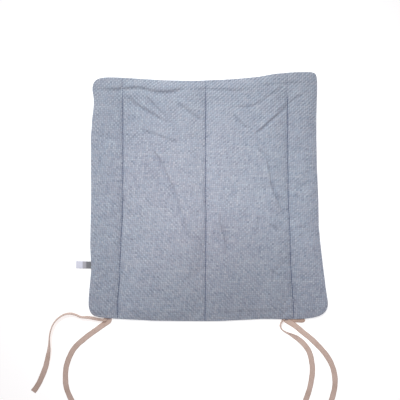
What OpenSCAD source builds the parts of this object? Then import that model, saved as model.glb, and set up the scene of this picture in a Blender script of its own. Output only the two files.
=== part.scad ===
// Quilted chair seat pad with two folded tape ties and a folded side label.
// The pad lies flat on its underside. +Z is up, +Y runs away from the ties,
// and the origin is the middle of the underside. Millimetres.

/* [Pad] */
// Nominal width across the side seams at mid depth
pad_w = 382; // [370:1:400]
// Nominal depth between the front and back seams at mid width
pad_d = 407; // [395:1:425]
// Height of the pad at the middle of a channel
crown_h = 11; // [9:0.5:15]
// Height of the pad where a quilting line pulls it down
valley_h = 3.8; // [3.6:0.1:4.4]
// Height of the top cover's edge at the seam
edge_h = 3.4; // [3.4:0.1:4]
// Width of the rounded shoulder beside a seam or a quilting line
shoulder = 24; // [18:1:30]

/* [Cloth] */
// Thickness of the cover cloth
cloth_t = 0.8; // [0.6:0.05:0.9]
// Diameter of the sewing thread
thread_d = 0.5; // [0.4:0.05:0.5]

/* [Ties] */
// Width of the tie tape
tape_w = 9; // [8:0.5:10]
// Thickness of the tie tape
tape_t = 0.7; // [0.5:0.1:0.7]

/* [Label] */
// Width of the folded label along the side seam
label_w = 12; // [8:1:14]
// Length of the label that stands out of the side seam
label_l = 25; // [15:1:30]

/* [Hidden] */

cloth_colour = "#a1a6b5";
thread_colour = "#7c84a0";
tape_colour = "#c9b2a6";
wadding_colour = "#f2f2ee";
label_colour = "#e4e6f2";

// The drawing's zero is the centre quilting line at mid depth. The whole pad is
// moved by this much so that the origin is the middle of the underside.
place = [-4, -4, 0];
// Scale of the edge tables against the nominal size they were drawn at
kx = pad_w / 382;
ky = pad_d / 407;

// Edge tables: position along the edge from -1 to 1, then distance out (mm)
left_edge = [[-1, 200], [-0.87, 200], [-0.6, 194], [-0.4, 196], [0, 195], [0.55, 195], [0.8, 191], [0.9, 194], [1, 195]];
right_edge = [[-1, 208], [-0.84, 207], [-0.74, 203], [-0.58, 199], [-0.38, 194], [-0.2, 191], [0, 191], [0.26, 188], [0.52, 187], [0.85, 191], [1, 190]];
back_edge = [[-1, 201], [-0.86, 202], [-0.73, 203], [-0.4, 207], [0.1, 207], [0.4, 204], [0.75, 204], [0.9, 203], [1, 200]];
front_edge = [[-1, 208], [-0.85, 208], [-0.73, 206], [-0.5, 203], [-0.1, 200], [0.2, 203], [0.5, 207], [0.65, 214], [0.85, 216], [1, 217]];
// Quilting lines: position from back to front, then distance across (mm)
line_left = [[-1, -150], [-0.85, -150], [-0.6, -146], [-0.4, -145], [-0.15, -142], [0, -141], [0.65, -141], [1, -143]];
line_centre = [[-1, -2], [-0.7, -1], [-0.1, 0], [0, -1], [1, -2]];
line_right = [[-1, 149], [-0.85, 148], [-0.55, 144], [-0.25, 142], [0, 139], [0.75, 138], [1, 138]];
// Share of the half width where the outer quilting lines sit in the grid
uq = 0.73;
// Exponent that rounds the corners
corner_n = 22;

// Gap in the seam where a tape or the label comes out, as spans along the edge
back_gaps = [[-0.875, -0.79], [0.645, 0.835]];
side_gap = [-0.6, -0.5];

function smooth(t) = t * t * (3 - 2 * t);
// Table lookup, eased between its entries so that the edge has no kinks
function ease_find(t, T, i = 0) = i >= len(T) - 2 || t < T[i + 1][0] ? i : ease_find(t, T, i + 1);
function eased(t, T) = let(i = ease_find(t, T), a = T[i], b = T[i + 1],
    s = min(1, max(0, (t - a[0]) / (b[0] - a[0])))) a[1] + (b[1] - a[1]) * smooth(s);

// Grid position (u, v) from -1 to 1 each way, to a point of the pad's plan
function rounded(u, v) = let(m = max(abs(u), abs(v)), k = pow(pow(abs(u), corner_n) + pow(abs(v), corner_n), 1 / corner_n))
    k == 0 ? [u, v] : [u * m / k, v * m / k];
function plan(u, v) = let(r = rounded(u, v), a = r[0], b = r[1],
    x = lookup(a, [[-1, -eased(b, left_edge)], [-uq, eased(b, line_left)], [0, eased(b, line_centre)], [uq, eased(b, line_right)], [1, eased(b, right_edge)]]),
    y = (-eased(a, back_edge) * (1 - b) + eased(a, front_edge) * (1 + b)) / 2)
    [x * kx, y * ky];

// Rise of a padded shoulder at a distance from where it is held down
function rise(d) = let(s = min(1, max(0, d / shoulder))) sqrt(1 - (1 - s) * (1 - s));
// The bottom of a valley is flat for a thread's width each side of its line
function line_gap(u) = min(abs(u), abs(abs(u) - uq)) * 191 - 0.95;
function edge_gap(u, v) = (1 - max(abs(u), abs(v))) * 200;
function top_z(u, v) = let(m = max(abs(u), abs(v)))
    m > 0.99 ? edge_h : edge_h + (valley_h - edge_h) * rise(edge_gap(u, v))
        + (crown_h - valley_h) * rise(line_gap(u)) * rise(edge_gap(u, v));

// Grid lines, closer together beside the seams and the quilting lines
near = [0, 0.005, 0.018, 0.042, 0.08, 0.125];
half_u = concat([for (n = near) n], [0.24, 0.365, 0.49], [for (i = [5:-1:1]) uq - near[i]],
                [uq, uq + 0.005, 0.75, 0.79, 0.815, 0.835, 0.875, 0.92, 0.96, 0.985]);
half_v = [0, 0.25, 0.5, 0.7, 0.82, 0.88, 0.93, 0.965, 0.985];
inner_u = concat([for (i = [len(half_u) - 1:-1:1]) -half_u[i]], half_u);
inner_v0 = concat([for (i = [len(half_v) - 1:-1:1]) -half_v[i]], half_v);
inner_v = concat([for (v = inner_v0) if (v < -0.55) v], [-0.6, -0.585], [for (v = inner_v0) if (v > -0.55 && v < -0.45) v], [-0.47], [for (v = inner_v0) if (v > -0.45) v]);
inner_vs = sorted(inner_v);
function sorted(a) = len(a) <= 1 ? a : let(p = a[floor(len(a) / 2)])
    concat(sorted([for (x = a) if (x < p) x]), [p], sorted([for (x = a) if (x > p) x]));

function with_ends(a, e) = concat([-e], a, [e]);

// The ring of grid positions round the rim, anticlockwise from the back left
function rim(U, V) = concat([for (i = [0:len(U) - 1]) [U[i], V[0]]],
    [for (j = [1:len(V) - 1]) [U[len(U) - 1], V[j]]],
    [for (i = [len(U) - 2:-1:0]) [U[i], V[len(V) - 1]]],
    [for (j = [len(V) - 2:-1:1]) [U[0], V[j]]]);
// Index in the grid of each rim position
function rim_i(nu, nv) = concat([for (i = [0:nu - 1]) i],
    [for (j = [1:nv - 1]) j * nu + nu - 1],
    [for (i = [nu - 2:-1:0]) (nv - 1) * nu + i],
    [for (j = [nv - 2:-1:1]) j * nu]);

// Low edge of the top cover's turned-down rim, raised where something comes out
function in_gap(t, g) = t >= g[0] - 0.001 && t <= g[1] + 0.001;
function rim_low(u, v) = (v < -0.99 && (in_gap(u, back_gaps[0]) || in_gap(u, back_gaps[1])))
    || (u < -0.99 && in_gap(v, side_gap)) ? 2.2 : 0.4;

function grid_pts(U, V, drop, flat) = [for (v = V) for (u = U) let(p = plan(u, v))
    [p[0], p[1], max(abs(u), abs(v)) > 0.99 ? flat : top_z(u, v) - drop]];
function grid_faces(nu, nv, o, up) = [for (j = [0:nv - 2]) for (i = [0:nu - 2])
    let(a = o + j * nu + i, b = a + 1, c = b + nu, d = a + nu)
    for (f = up ? [[a, c, b], [a, d, c]] : [[a, b, c], [a, c, d]]) f];
function band(A, B) = let(n = len(A)) [for (i = [0:n - 1]) let(k = (i + 1) % n)
    for (f = [[A[i], A[k], B[k]], [A[i], B[k], B[i]]]) f];

// ---------------------------------------------------------------- covers

// Upper cloth panel with its rim turned down to the seam
module top_cover() {
    wall = cloth_t / 200;
    U = with_ends(inner_u, 1);
    V = with_ends(inner_vs, 1);
    Ui = with_ends(inner_u, 1 - wall);
    Vi = with_ends(inner_vs, 1 - wall);
    nu = len(U);
    nv = len(V);
    n = nu * nv;
    R = rim(U, V);
    Ri = rim(Ui, Vi);
    m = len(R);
    outer = grid_pts(U, V, 0, edge_h);
    inner = grid_pts(Ui, Vi, cloth_t, edge_h - cloth_t);
    low_out = [for (r = R) let(p = plan(r[0], r[1])) [p[0], p[1], rim_low(r[0], r[1])]];
    low_in = [for (k = [0:m - 1]) let(r = Ri[k], p = plan(r[0], r[1])) [p[0], p[1], rim_low(R[k][0], R[k][1])]];
    ri = rim_i(nu, nv);
    ro = [for (i = ri) i];
    rn = [for (i = ri) n + i];
    lo = [for (k = [0:m - 1]) 2 * n + k];
    li = [for (k = [0:m - 1]) 2 * n + m + k];
    color(cloth_colour) translate(place) polyhedron(
        points = concat(outer, inner, low_out, low_in),
        faces = concat(grid_faces(nu, nv, 0, true), grid_faces(nu, nv, n, false),
                       band(ro, lo), band(lo, li), band(li, rn)),
        convexity = 6);
}

// Plan outline of the pad, drawn in from the seam by a share of its half width
function outline(s) = [for (r = rim(with_ends(inner_u, s), with_ends(inner_vs, s))) plan(r[0], r[1])];
function line_u(T) = T == line_left ? -uq : T == line_right ? uq : 0;
function line_pts(T, e) = [for (v = [-e, -0.85, -0.6, -0.4, -0.15, 0, 0.25, 0.65, e])
    let(u = line_u(T), y = (-eased(u, back_edge) * (1 - v) + eased(u, front_edge) * (1 + v)) / 2) [eased(v, T) * kx, y * ky]];
// Straight-sided strip that follows a quilting line
module strip(T, e, w) {
    P = line_pts(T, e);
    n = len(P);
    polygon(concat([for (i = [0:n - 1]) P[i] + [w / 2, 0]], [for (i = [n - 1:-1:0]) P[i] - [w / 2, 0]]));
}

// Lower cloth panel: flat underside, with the shallow valleys that the bobbin threads pull
module bottom_cover() color(cloth_colour) translate(place) difference() {
    linear_extrude(height = cloth_t) polygon(outline(0.993));
    for (T = [line_left, line_centre, line_right])
        translate([0, 0, -1]) linear_extrude(height = 1.55) strip(T, 1.02, 1.3);
}

// Polyester wadding sheet, pressed thin under the quilting lines
module wadding() {
    U = inner_u;
    V = inner_vs;
    nu = len(U);
    nv = len(V);
    n = nu * nv;
    low = 1.62;
    top = grid_pts(U, V, cloth_t + 0.2, 2);
    R = rim(U, V);
    m = len(R);
    base = [for (r = R) let(p = plan(r[0], r[1])) [p[0], p[1], low]];
    ri = rim_i(nu, nv);
    bo = [for (k = [0:m - 1]) n + k];
    color(wadding_colour) translate(place) polyhedron(
        points = concat(top, base),
        faces = concat(grid_faces(nu, nv, 0, true), band([for (i = ri) i], bo), [bo]),
        convexity = 4);
}

// --------------------------------------------------------------- threads

function unit(a) = a / max(norm(a), 0.000001);
// Tube of n sides and diameter d swept along the points P
module tube(P, d, n = 6, closed = false) {
    m = len(P);
    T = [for (i = [0:m - 1]) unit(closed ? P[(i + 1) % m] - P[(i + m - 1) % m] : P[min(i + 1, m - 1)] - P[max(i - 1, 0)])];
    S = [for (t = T) unit(cross([0, 0, 1], t))];
    pts = [for (i = [0:m - 1]) for (k = [0:n - 1]) let(a = 360 * k / n, w = cross(T[i], S[i]))
        P[i] + (S[i] * cos(a) + w * sin(a)) * d / 2];
    side = [for (i = [0:m - (closed ? 1 : 2)]) for (k = [0:n - 1])
        let(a = i * n + k, b = i * n + (k + 1) % n, j = (i + 1) % m, c = j * n + (k + 1) % n, e = j * n + k)
        for (f = [[a, c, b], [a, e, c]]) f];
    ends = closed ? [] : [[for (k = [0:n - 1]) k], [for (k = [n - 1:-1:0]) (m - 1) * n + k]];
    polyhedron(points = pts, faces = concat(side, ends), convexity = 4);
}

// Thread of the seam that joins the two covers all round
module seam_thread() color(thread_colour) translate(place)
    tube([for (p = outline(0.9895)) [p[0], p[1], 1.9]], thread_d, 6, true);

// Hand stitch that closes the gap the pad was turned through, inside the back seam
module closing_stitch() color(thread_colour) translate(place)
    tube([for (x = [-0.24:0.04:0.24]) let(p = plan(x, -0.9937)) [p[0], p[1], 1.9]], thread_d * 0.9, 6);

// One quilting line's upper thread, which lies in the valley of the top cover
module needle_thread(T) color(thread_colour) translate(place)
    tube([for (v = [-0.985, -0.965, -0.93, -0.88, -0.82, -0.7, -0.6, -0.5, -0.25, 0, 0.25, 0.5, 0.7, 0.82, 0.88, 0.93, 0.965, 0.985])
        let(u = line_u(T), p = plan(u, v)) [p[0], p[1], top_z(u, v) + thread_d / 2 + 0.06]],
        thread_d, 6);
// The same line's lower thread, in the groove of the bottom cover
module bobbin_thread(T) color(thread_colour) translate(place)
    tube([for (p = line_pts(T, 0.985)) [p[0], p[1], 0.28]], thread_d * 0.9, 6);

module left_quilting_needle_thread() needle_thread(line_left);
module centre_quilting_needle_thread() needle_thread(line_centre);
module right_quilting_needle_thread() needle_thread(line_right);
module left_quilting_bobbin_thread() bobbin_thread(line_left);
module centre_quilting_bobbin_thread() bobbin_thread(line_centre);
module right_quilting_bobbin_thread() bobbin_thread(line_right);

// ------------------------------------------------------------------ ties

// Tail routes: x, y, tilt of the tape from flat (degrees), and extra height
left_straight = [[-167, -208.9, 0, 0.75], [-168, -211.7, 0, 0.7], [-173, -214.5, 0, 0.5], [-180, -218.5, 0, 0.2],
    [-188, -223.5, 0, 0], [-197, -229.5, 0, 0], [-207, -237.5, 0, 0], [-218, -249, 0, 0], [-227, -262, 0, 0],
    [-234, -276, 0, 0], [-238, -291, 0, 0], [-239, -306, 0, 0], [-237, -321, 0, 0], [-232, -335, 0, 0],
    [-225, -348, 0, 0], [-217, -360, 0, 0], [-209, -371, 0, 0], [-202, -381, 0, 0], [-196, -392, 0, 0]];
left_curled = [[-170.5, -214.8, 8, 1.9], [-176.5, -211.6, 35, 1], [-183.5, -207.2, 62, 0.3], [-191, -204, 80, 0],
    [-200, -202, 90, 0], [-208, -201.4, 90, 0], [-214, -200.3, 90, 0], [-220, -198, 90, 0], [-228, -195.8, 90, 0],
    [-236, -196.4, 90, 0], [-245, -199.6, 90, 0], [-253, -204.6, 90, 0], [-259, -210.6, 90, 0],
    [-263, -217.6, 88, 0], [-265.5, -226, 84, 0], [-266, -236, 76, 0], [-266, -247, 60, 0], [-267, -259, 40, 0],
    [-269, -271, 22, 0], [-272, -283, 8, 0], [-276, -295, 0, 0], [-281, -307, 0, 0], [-287, -318, 0, 0], [-294, -328, 0, 0]];
right_straight = [[135, -209.9, 0, 0.75], [135.9, -212.2, 0, 0.72], [139.5, -213.9, 0, 0.68], [146, -216.2, 0, 0.5], [152.5, -219.4, 0, 0.2],
    [159, -223.4, 0, 0], [166, -228.2, 0, 0], [173, -234, 0, 0], [180, -240.3, 0, 0], [190, -249.5, 0, 0], [201, -261, 0, 0],
    [210, -274, 0, 0], [216, -288, 0, 0], [219, -303, 0, 0], [219, -318, 0, 0], [216, -333, 0, 0],
    [211, -347, 0, 0], [204, -360, 0, 0], [196, -372, 0, 0], [188, -383, 0, 0], [181, -393, 0, 0]];
right_curled = [[131.5, -214.6, 6, 1.9], [128.2, -214.6, 28, 1.2], [126, -217, 58, 0.4], [125.8, -220, 82, 0],
    [127.7, -223.4, 90, 0], [131.2, -226.6, 90, 0], [136, -229.8, 88, 0], [142, -233.1, 74, 0], [149, -236.8, 48, 0],
    [157, -241.5, 22, 0], [165, -248, 6, 0], [172, -256.5, 0, 0], [177, -266.5, 0, 0], [180, -278, 0, 0],
    [181, -291, 0, 0], [180, -305, 0, 0], [177, -319, 0, 0], [173, -333, 0, 0], [168, -346, 0, 0], [162, -359, 0, 0],
    [155, -371, 0, 0], [147, -382, 0, 0], [140, -392, 0, 0]];

// Smooth curve through route points a to d, at t of the way from b to c
function through(a, b, c, d, t) = 0.5 * (2 * b + (c - a) * t + (2 * a - 5 * b + 4 * c - d) * t * t + (3 * b - a - 3 * c + d) * t * t * t);
function finer(P) = let(n = len(P)) concat([for (i = [0:n - 2]) for (t = [0, 0.5])
    through(P[max(i - 1, 0)], P[i], P[i + 1], P[min(i + 2, n - 1)], t)], [P[n - 1]]);
// Flat tape swept along a route, resting on the ground however far it is tilted.
// A square start leaves the seam straight back.
module tape(R, square = false) {
    P = finer(R);
    m = len(P);
    C = [for (p = P) [p[0] * kx, p[1] * ky, tape_w / 2 * abs(sin(p[2])) + tape_t / 2 * abs(cos(p[2])) + 0.12 + p[3]]];
    pts = [for (i = [0:m - 1]) let(t = i == 0 && square ? [0, -1, 0] : unit(C[min(i + 1, m - 1)] - C[max(i - 1, 0)]),
        h = unit(cross([0, 0, 1], t)), a = P[i][2], up = cross(t, h),
        w = h * cos(a) + up * sin(a), s = up * cos(a) - h * sin(a))
        for (k = [[1, 1], [-1, 1], [-1, -1], [1, -1]]) C[i] + w * k[0] * tape_w / 2 + s * k[1] * tape_t / 2];
    color(tape_colour) translate(place) polyhedron(points = pts,
        faces = concat([[0, 1, 2, 3]], [for (i = [0:m - 2]) for (k = [0:3])
            let(a = i * 4 + k, b = i * 4 + (k + 1) % 4, c = b + 4, d = a + 4) for (f = [[a, c, b], [a, d, c]]) f],
            [[for (k = [3:-1:0]) (m - 1) * 4 + k]]), convexity = 4);
}

module left_tie_straight_tail() tape(left_straight, true);
module left_tie_curled_tail() tape(left_curled);
module right_tie_straight_tail() tape(right_straight, true);
module right_tie_curled_tail() tape(right_curled);

// Folded middle of the left tape, caught under the seam and standing out of it a little
module left_tie_sewn_end() color(tape_colour) translate(place)
    translate([-167 * kx, -200 * ky, 0.85]) translate([-tape_w / 2 - 0.5, -8.1, 0]) cube([tape_w + 1, 17, tape_t]);

// Folded middle of the right tape: it runs along inside the seam, and its fold shows as a rounded tongue
module right_tie_sewn_end() color(tape_colour) translate(place) translate([0, 0, 0.85]) linear_extrude(height = tape_t) {
    translate([135 * kx, -200 * ky]) translate([-4.5, -8.9]) square([9, 18]);
    translate([139 * kx, -200 * ky]) square([24, 9]);
    translate([156 * kx, -202 * ky]) translate([0, -4.4]) hull() {
        translate([3.6, 0]) circle(r = 3.6, $fn = 32);
        translate([9.4, 0]) circle(r = 3.6, $fn = 32);
        translate([0, 2]) square([13, 10]);
    }
}

// Back-and-forth stitches that hold each tape in the seam
module back_tack(x, w) color(thread_colour) translate(place)
    translate([x * kx, 0, 0]) for (k = [0, 1])
        tube([for (i = [0:6]) let(s = -1 + i / 3, u = (x + s * w / 2) / 203) [s * w / 2, plan(u, -0.9937)[1] + (i % 2) * 0.3 - 0.1, 1.88 + k * 0.5]], thread_d * 0.8, 6);
module left_tie_back_tack() back_tack(-167, 8);
module right_tie_back_tack() back_tack(140, 14);

// ----------------------------------------------------------------- label

label_y = -112;
label_x = -194;
// The label's end, caught under the side seam
module label_sewn_end() color(label_colour) translate(place)
    translate([label_x * kx - 2.6, label_y * ky - label_w / 2, 0.85]) cube([12, label_w, 0.7]);
// The folded loop of the label, from just outside the seam to its fold
module label_loop() color(label_colour) translate(place)
    translate([label_x * kx - 3.4, label_y * ky + label_w / 2, 0]) rotate([90, 0, 0]) linear_extrude(height = label_w) difference() {
        polygon([[0, 0.95], [-8, 0.35], [-label_l + 3.8, 0.1], [-label_l + 2.9, 0.3], [-label_l + 2.5, 0.95],
                 [-label_l + 2.9, 1.7], [-label_l + 3.8, 1.95], [-8, 2.1], [0, 1.5]]);
        polygon([[-4, 1.1], [-8, 0.75], [-label_l + 3.9, 0.5], [-label_l + 3.2, 0.95], [-label_l + 3.9, 1.5], [-8, 1.65]]);
    }

top_cover();
bottom_cover();
wadding();
seam_thread();
closing_stitch();
left_quilting_needle_thread();
centre_quilting_needle_thread();
right_quilting_needle_thread();
left_quilting_bobbin_thread();
centre_quilting_bobbin_thread();
right_quilting_bobbin_thread();
left_tie_sewn_end();
left_tie_back_tack();
left_tie_straight_tail();
left_tie_curled_tail();
right_tie_sewn_end();
right_tie_back_tack();
right_tie_straight_tail();
right_tie_curled_tail();
label_sewn_end();
label_loop();
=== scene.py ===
import math

import bpy
import numpy as np
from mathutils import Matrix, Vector


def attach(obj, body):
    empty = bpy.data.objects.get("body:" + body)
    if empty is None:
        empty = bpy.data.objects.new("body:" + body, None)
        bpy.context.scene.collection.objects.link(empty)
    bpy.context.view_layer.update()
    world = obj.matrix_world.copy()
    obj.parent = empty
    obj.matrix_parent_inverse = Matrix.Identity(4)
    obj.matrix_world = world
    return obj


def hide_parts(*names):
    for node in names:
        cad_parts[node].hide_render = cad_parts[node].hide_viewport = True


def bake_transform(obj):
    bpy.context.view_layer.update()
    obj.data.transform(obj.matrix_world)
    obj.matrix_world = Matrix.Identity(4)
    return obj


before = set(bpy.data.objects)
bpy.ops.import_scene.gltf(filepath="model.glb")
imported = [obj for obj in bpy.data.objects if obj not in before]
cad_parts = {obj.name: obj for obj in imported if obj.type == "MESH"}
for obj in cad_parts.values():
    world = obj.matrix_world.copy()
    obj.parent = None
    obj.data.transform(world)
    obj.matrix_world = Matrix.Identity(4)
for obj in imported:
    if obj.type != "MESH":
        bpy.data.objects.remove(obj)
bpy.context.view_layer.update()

MM = 0.001
SHIFT = np.array([-4.0, -4.0, 0.0])  # the drawing's zero, in the row frame

scene = bpy.context.scene

# ------------------------------------------------------------------ camera
cam_data = bpy.data.cameras.new("camera")
cam_data.sensor_width = 36.0
cam_data.lens = 84.7
cam_data.clip_start, cam_data.clip_end = 0.05, 20.0
camera = bpy.data.objects.new("camera", cam_data)
scene.collection.objects.link(camera)
camera.location = (-0.0142, -0.0057, 1.6)
camera.rotation_euler = (0.0, 0.0, 0.0)
scene.camera = camera
scene.view_settings.view_transform = "Standard"
scene.view_settings.look = "None"


# ----------------------------------------------------------------- helpers
def new_mesh(name, verts_mm, faces, uvs=None, smooth=True):
    """A mesh object from points in drawing millimetres, with optional UVs per vertex."""
    pts = (np.asarray(verts_mm, float) + SHIFT) * MM
    mesh = bpy.data.meshes.new(name)
    mesh.from_pydata([tuple(p) for p in pts], [], [tuple(int(i) for i in f) for f in faces])
    mesh.update()
    if uvs is not None:
        layer = mesh.uv_layers.new(name="UVMap")
        idx = np.zeros(len(mesh.loops), int)
        mesh.loops.foreach_get("vertex_index", idx)
        layer.data.foreach_set("uv", np.asarray(uvs, float)[idx].astype(np.float32).ravel())
    if smooth:
        mesh.polygons.foreach_set("use_smooth", [True] * len(mesh.polygons))
    obj = bpy.data.objects.new(name, mesh)
    scene.collection.objects.link(obj)
    return obj


def set_attr(obj, name, values):
    a = obj.data.attributes.new(name, "FLOAT", "POINT")
    a.data.foreach_set("value", np.asarray(values, np.float32))


def catmull(P, step):
    """Route rows resampled on a smooth curve, about step apart."""
    P = np.asarray(P, float)
    Q = np.vstack([2 * P[0] - P[1], P, 2 * P[-1] - P[-2]])
    out = []
    for i in range(1, len(Q) - 2):
        a, b, c, d = Q[i - 1], Q[i], Q[i + 1], Q[i + 2]
        n = max(1, int(round(np.linalg.norm((c - b)[:2]) / step)))
        for k in range(n):
            t = k / n
            out.append(0.5 * (2 * b + (c - a) * t + (2 * a - 5 * b + 4 * c - d) * t * t + (3 * b - a - 3 * c + d) * t ** 3))
    out.append(P[-1])
    return np.array(out)


def smooth_table(pts, lo, hi, sigma):
    """An edge given as listed points, as an evenly sampled, softened curve: returns f(t)."""
    pts = np.array(pts, float)
    xs = np.arange(lo, hi + 0.5, 1.0)
    ys = np.interp(xs, pts[:, 0], pts[:, 1])
    k = np.arange(-int(3 * sigma), int(3 * sigma) + 1)
    w = np.exp(-0.5 * (k / sigma) ** 2)
    w /= w.sum()
    pad = len(k) // 2
    ys = np.convolve(np.pad(ys, pad, mode="edge"), w, mode="valid")
    return lambda t: np.interp(t, xs, ys)


# --------------------------------------------------- tie routes (drawing mm)
# x, y, tilt of the tape from flat in degrees, height added to its resting height
LEFT_STRAIGHT = [
    [-164.2, -196, 0, 3.0], [-164.2, -200, 0, 3.0], [-164.4, -204, 0, 2.7], [-165.2, -207.2, 0, 1.9], [-168.4, -209.9, 0, 1.0],
    [-173.5, -213.0, 0, 0.4], [-180, -217.6, 0, 0.15], [-188, -223.4, 0, 0], [-197, -230, 0, 0], [-206.5, -237.2, 0, 0],
    [-217.5, -246.6, 0, 0], [-227, -258.5, 0, 0], [-234, -273, 0, 0], [-238, -289, 0, 0], [-239, -306, 0, 0],
    [-237, -321, 0, 0], [-232, -335, 0, 0], [-225, -348, 0, 0], [-217, -360, 0, 0], [-209, -371, 0, 0],
    [-202, -381, 0, 0], [-196, -391.5, 0, 0]]
LEFT_CURLED = [
    [-167.5, -197, 0, 1.6, 0.75], [-168, -200.4, 4, 1.6, 0.75], [-170, -203.4, 24, 1.0, 0.75], [-174.2, -205.2, 50, 0.3, 0.8], [-180, -204.6, 60, 0, 0.9],
    [-187, -203.2, 64, 0, 0.95], [-195, -201.4, 66, 0], [-203, -200.4, 68, 0], [-210.4, -200.4, 74, 0], [-216, -198.6, 77, 0],
    [-222, -195.9, 77, 0], [-230, -194.1, 76, 0], [-238, -195.1, 76, 0], [-246, -198.8, 76, 0], [-253.6, -205, 75, 0],
    [-259.6, -213, 74, 0], [-263, -221, 72, 0], [-264.9, -229.5, 70, 0], [-265.7, -238, 68, 0], [-266, -248, 58, 0],
    [-267, -259, 40, 0], [-269, -271, 22, 0], [-272, -283, 8, 0], [-276, -295, 0, 0], [-281, -307, 0, 0],
    [-287, -318, 0, 0], [-293.6, -327.5, 0, 0]]
RIGHT_STRAIGHT = [
    [125.4, -195, 0, 3.0, 1.15], [129.6, -198.6, 0, 3.0, 1.15], [134.2, -202.6, 0, 2.7, 1.18], [139, -206.4, 0, 1.9, 1.15], [144, -210.2, 0, 1.0, 1.08],
    [150.4, -214.8, 0, 0.4], [157, -219.8, 0, 0.1], [164, -225.6, 0, 0], [171, -231.4, 0, 0], [178.6, -237.8, 0, 0],
    [190, -248.5, 0, 0], [201, -261, 0, 0], [210, -274, 0, 0], [216, -288, 0, 0], [219, -303, 0, 0], [219, -318, 0, 0],
    [216, -333, 0, 0], [211, -347, 0, 0], [204, -360, 0, 0], [196, -372, 0, 0], [188, -383, 0, 0], [181.4, -392.5, 0, 0]]
RIGHT_CURLED = [
    [134.5, -197, 0, 2.0, 0.5], [133.6, -200.2, 6, 2.0, 0.5], [132.4, -203, 36, 1.4, 0.5], [130.6, -205.6, 64, 0.4, 0.6], [128, -208.8, 76, 0, 0.75],
    [126.2, -212.4, 78, 0, 0.9], [126, -216.6, 78, 0], [128.2, -220.6, 77, 0], [132.4, -224.0, 74, 0], [138.2, -227.2, 66, 0],
    [145.2, -230.8, 50, 0], [152.8, -235.2, 28, 0], [161, -241.2, 8, 0], [169, -249.6, 0, 0], [175.4, -260.4, 0, 0],
    [179.2, -273, 0, 0], [180.8, -287, 0, 0], [180, -302, 0, 0], [177.4, -317, 0, 0], [173, -332, 0, 0], [168, -346, 0, 0],
    [162, -359, 0, 0], [155, -371, 0, 0], [147, -382, 0, 0], [140.4, -391.5, 0, 0]]
TAPE_W, TAPE_T = 9.0, 0.6


def tape_piece(name, route, seed, step=1.3):
    """Woven tape swept along its route, resting on its lowest edge, with a slight bow and ripple."""
    R = catmull([row + [1.0] * (5 - len(row)) for row in route], step)
    wf = R[:, 4]
    n = len(R)
    tilt = np.radians(R[:, 2])
    z = wf * TAPE_W / 2 * np.abs(np.sin(tilt)) + TAPE_T / 2 * np.abs(np.cos(tilt)) + 0.12 + np.maximum(R[:, 3], 0)
    C = np.column_stack([R[:, 0], R[:, 1], z])
    T = np.gradient(C, axis=0)
    T[0] = (0, -1, 0)
    T /= np.linalg.norm(T, axis=1)[:, None]
    H = np.cross([0, 0, 1.0], T)
    H /= np.linalg.norm(H, axis=1)[:, None]
    U = np.cross(T, H)
    W = H * np.cos(tilt)[:, None] + U * np.sin(tilt)[:, None]
    N = U * np.cos(tilt)[:, None] - H * np.sin(tilt)[:, None]
    s = np.concatenate([[0], np.cumsum(np.linalg.norm(np.diff(C, axis=0), axis=1))])
    rng = np.random.default_rng(seed)
    ph = rng.uniform(0, 6.28, 6)
    free = np.clip((s - 10) / 15, 0, 1) * np.clip((s[-1] - s + 6) / 12, 0, 1)
    bow = (0.22 + 0.12 * np.sin(s / 17 + ph[0])) * free
    ripple = (0.10 * np.sin(s / 6.1 + ph[1]) + 0.07 * np.sin(s / 3.3 + ph[2])) * free
    edge_l = 0.16 * np.sin(s / 5.2 + ph[3]) + 0.08 * np.sin(s / 2.1 + ph[4])
    edge_r = 0.16 * np.sin(s / 6.0 + ph[5]) + 0.08 * np.sin(s / 2.4 + ph[2])
    a = np.linspace(-1, 1, 11)
    lift = (1 - a ** 2)
    thick = np.where(np.abs(a) > 0.93, 0.62, np.where(np.abs(a) > 0.75, 1.12, 1.0))
    ring = [(k, 1) for k in range(11)] + [(k, -1) for k in range(10, -1, -1)]
    verts, uvs = [], []
    for i in range(n):
        for k, side in ring:
            wide = wf[i] * a[k] * TAPE_W / 2 + (edge_r[i] if a[k] > 0 else -edge_l[i]) * abs(a[k]) ** 3
            up = bow[i] * lift[k] + ripple[i] * (1 - 0.5 * abs(a[k])) + side * TAPE_T / 2 * thick[k]
            p = C[i] + W[i] * wide + N[i] * up
            verts.append([p[0], p[1], max(p[2], 0.06)])
            uvs.append([(a[k] * TAPE_W / 2 + 20 * (side < 0)) * MM, s[i] * MM])
    m = len(ring)
    faces = []
    for i in range(n - 1):
        for k in range(m):
            b = (k + 1) % m
            faces.append((i * m + k, i * m + b, (i + 1) * m + b, (i + 1) * m + k))
    faces.append(tuple(range(m - 1, -1, -1)))
    faces.append(tuple((n - 1) * m + k for k in range(m)))
    obj = new_mesh(name, verts, faces, uvs)
    path = (C + SHIFT) * MM
    return obj, path[::3].tolist() + ([path[-1].tolist()] if (n - 1) % 3 else []), float(s[-1]) * MM


tapes = {}
for nm, route, seed in [("left_tie_straight_tape", LEFT_STRAIGHT, 3), ("left_tie_curled_tape", LEFT_CURLED, 5),
                        ("right_tie_straight_tape", RIGHT_STRAIGHT, 8), ("right_tie_curled_tape", RIGHT_CURLED, 11)]:
    tapes[nm] = tape_piece(nm, route, seed)
    print("TAPE", nm, round(tapes[nm][2], 4))

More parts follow.
